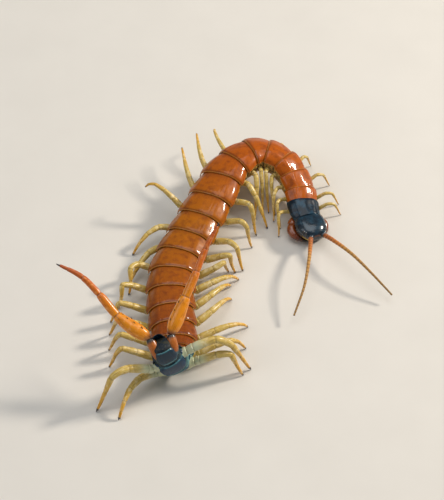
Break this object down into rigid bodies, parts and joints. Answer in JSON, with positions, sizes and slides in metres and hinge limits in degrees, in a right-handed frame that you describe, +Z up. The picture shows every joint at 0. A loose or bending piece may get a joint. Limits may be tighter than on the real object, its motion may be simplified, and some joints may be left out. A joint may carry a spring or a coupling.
{
  "type": "giant centipede",
  "caption": "Life-size giant desert centipede in a threat pose: a plated trunk bent in a hook on arched walking legs, tail raised with the long last legs held out.",
  "frame": {"origin": "middle of the bounding box's bottom, on the floor under the bent trunk", "axes": "+Z up, +Y from the raised tail towards the bend of the trunk, +X to the side where the head is"},
  "size_m": [0.098, 0.1106, 0.0406],
  "materials": {
    "back": "glossy brown-orange plates with pale rear rims",
    "front": "glossy red-orange plates",
    "tail": "glossy blue-black with teal edges",
    "leg": "pale ochre-yellow, softly glossy",
    "last_leg": "bright orange, softly glossy",
    "head": "glossy blue-black, also on the first segment",
    "feeler": "fine satin, paler to the tips",
    "claw": "glossy chestnut with black points"
  },
  "bodies": {
    "root": {"head": "head", "antenna_l": "feeler", "antenna_r": "feeler", "forcipule_l": "claw", "forcipule_r": "claw", "trunk_01": "head", "trunk_02_03": "front", "trunk_04_05": "front", "trunk_06_07": "front", "trunk_08_09": "back", "trunk_10_11": "back", "trunk_12_13": "back", "trunk_14_15": "back", "trunk_16_17": "back", "trunk_18_19": "back", "trunk_20": "tail", "trunk_21": "tail", "leg_01_l": "leg", "leg_01_r": "leg", "leg_02_l": "leg", "leg_02_r": "leg", "leg_03_l": "leg", "leg_03_r": "leg", "leg_04_l": "leg", "leg_04_r": "leg", "leg_05_l": "leg", "leg_05_r": "leg", "leg_06_l": "leg", "leg_06_r": "leg", "leg_07_l": "leg", "leg_07_r": "leg", "leg_08_l": "leg", "leg_08_r": "leg", "leg_09_l": "leg", "leg_09_r": "leg", "leg_10_l": "leg", "leg_10_r": "leg", "leg_11_l": "leg", "leg_11_r": "leg", "leg_12_l": "leg", "leg_12_r": "leg", "leg_13_l": "leg", "leg_13_r": "leg", "leg_14_l": "leg", "leg_14_r": "leg", "leg_15_l": "leg", "leg_15_r": "leg", "leg_16_l": "leg", "leg_16_r": "leg", "leg_17_l": "leg", "leg_17_r": "leg", "leg_18_l": "leg", "leg_18_r": "leg", "leg_19_l": "leg", "leg_19_r": "leg", "leg_20_l": "leg", "leg_20_r": "leg", "leg_21_l": "last_leg", "leg_21_r": "last_leg"}
  },
  "joints": []
}
